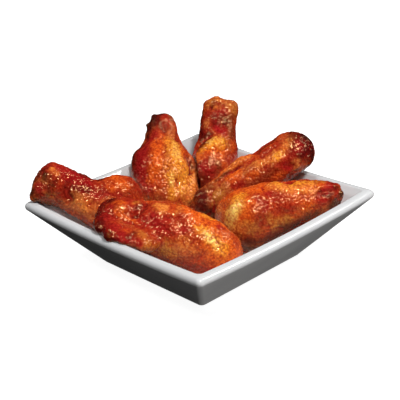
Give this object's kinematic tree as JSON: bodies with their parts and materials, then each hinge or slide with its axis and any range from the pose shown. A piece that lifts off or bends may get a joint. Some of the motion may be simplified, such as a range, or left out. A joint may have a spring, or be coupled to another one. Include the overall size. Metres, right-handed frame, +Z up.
{
  "type": "chicken wings serving",
  "caption": "Square white porcelain dish with sloping walls, holding glazed roast chicken wings that lean out over its rim.",
  "frame": {"origin": "centre of the dish's flat underside", "axes": "+Z up, X and Y along the dish's sides; the corner at +X -Y faces the person served"},
  "size_m": [0.1642, 0.1693, 0.0777],
  "materials": {
    "porcelain": "gloss",
    "glazed_skin": "satin"
  },
  "bodies": {
    "root": {"dish": "porcelain", "wing_front": "glazed_skin", "wing_right": "glazed_skin", "wing_back_right": "glazed_skin", "wing_back": "glazed_skin", "wing_back_left": "glazed_skin", "wing_left": "glazed_skin"}
  },
  "joints": []
}
